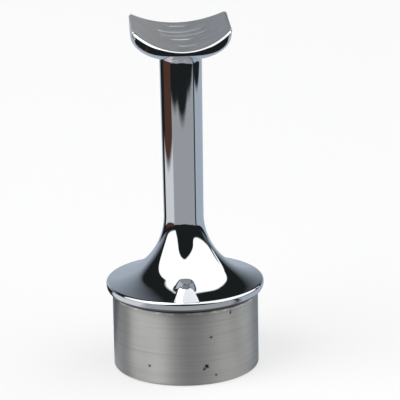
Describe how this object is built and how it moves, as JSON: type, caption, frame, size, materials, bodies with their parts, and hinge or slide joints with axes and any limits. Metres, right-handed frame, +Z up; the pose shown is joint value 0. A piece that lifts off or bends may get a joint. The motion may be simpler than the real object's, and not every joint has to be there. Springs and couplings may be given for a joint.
{
  "type": "handrail bracket",
  "caption": "One-piece steel handrail support: turned tube spigot with a rounded rim, trumpet flare, slim stem and a concave saddle for a round rail.",
  "frame": {"origin": "centre of the spigot's open end, on the surface that the part stands on", "axes": "+Z up the post's axis to the rail, +Y along the handrail, +X across it"},
  "size_m": [0.0514, 0.0514, 0.1145],
  "materials": {
    "polished_steel": "mirror polished above the rim, fine turned spigot, ground rail seat"
  },
  "bodies": {
    "root": {"bracket_casting": "polished_steel"}
  },
  "joints": []
}
